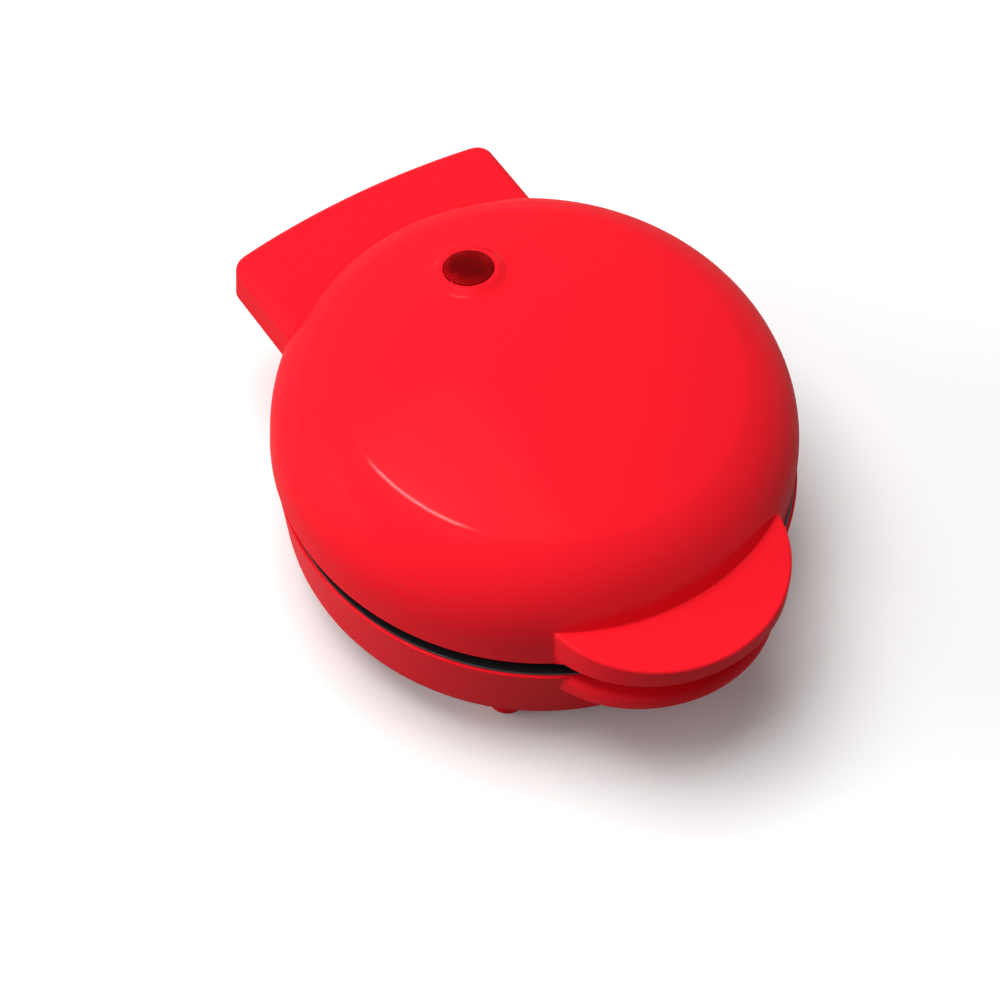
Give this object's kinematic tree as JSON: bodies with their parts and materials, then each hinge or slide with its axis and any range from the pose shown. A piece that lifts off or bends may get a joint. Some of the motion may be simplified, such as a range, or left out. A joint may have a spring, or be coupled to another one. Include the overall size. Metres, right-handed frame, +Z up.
{
  "type": "mini waffle maker",
  "caption": "Small round countertop waffle maker: domed lid hinged at the back over a bowl base, each with a heated grid plate and a front finger tab.",
  "frame": {"origin": "on the table, under the middle of the whole length and width", "axes": "+Z up, -Y the front with the finger tabs, +Y the back with the hinge and the cord gland, X the width"},
  "size_m": [0.127, 0.165, 0.0715],
  "materials": {
    "red_plastic": "satin moulded, bright red",
    "black_plastic": "fine satin, near black",
    "coated_aluminium": "die cast with a dark non-stick coat",
    "steel_tube": "heat-dulled stainless sheath",
    "aluminium_sheet": "bright rolled sheet",
    "plated_steel": "zinc plated",
    "glass_fibre_sleeve": "varnished braid",
    "white_nylon": "moulded, off white",
    "white_silicone": "soft satin",
    "black_silicone": "soft satin",
    "black_rubber": "moulded, matt",
    "grey_rubber": "moulded, matt",
    "brown_phenolic": "moulded, dark brown",
    "red_lens": "transparent dark red, ribbed behind",
    "lamp_glass": "clear",
    "resistor_ceramic": "tan lacquer"
  },
  "bodies": {
    "base": {"base_housing": "red_plastic", "base_bezel": "black_plastic", "base_plate": "coated_aluminium", "base_element": "steel_tube", "base_reflector": "aluminium_sheet", "base_plate_clips": "plated_steel", "base_clip_screws": "plated_steel", "base_reflector_screws": "plated_steel", "base_housing_screws": "plated_steel", "thermal_fuse": "aluminium_sheet", "fuse_sleeve": "glass_fibre_sleeve", "fuse_saddle": "plated_steel", "fuse_screws": "plated_steel", "terminal_block": "white_nylon", "terminal_screws": "plated_steel", "base_leads": "white_silicone", "base_loom": "black_silicone", "cord_gland": "black_rubber", "hinge_pin_left": "plated_steel", "hinge_pin_right": "plated_steel", "foot_pad_front_left": "grey_rubber", "foot_pad_front_right": "grey_rubber", "foot_pad_back_left": "grey_rubber", "foot_pad_back_right": "grey_rubber"},
    "lid": {"lid_housing": "red_plastic", "lid_bezel": "black_plastic", "lid_plate": "coated_aluminium", "lid_element": "steel_tube", "lid_reflector": "aluminium_sheet", "lid_plate_clips": "plated_steel", "lid_clip_screws": "plated_steel", "lid_reflector_screws": "plated_steel", "lid_housing_screws": "plated_steel", "thermostat_cap": "aluminium_sheet", "thermostat": "brown_phenolic", "thermostat_screws": "plated_steel", "lid_leads": "white_silicone", "lid_loom": "black_silicone", "indicator_lens": "red_lens", "lens_nut": "plated_steel", "neon_lamp": "lamp_glass", "lamp_holder": "white_nylon", "lamp_resistor": "resistor_ceramic"}
  },
  "joints": [
    {"name": "lid_hinge", "type": "hinge", "parent": "base", "child": "lid", "pos_m": [0, 0.06785, 0.0345], "axis": [-1, 0, 0], "range_deg": [0, 95]}
  ]
}
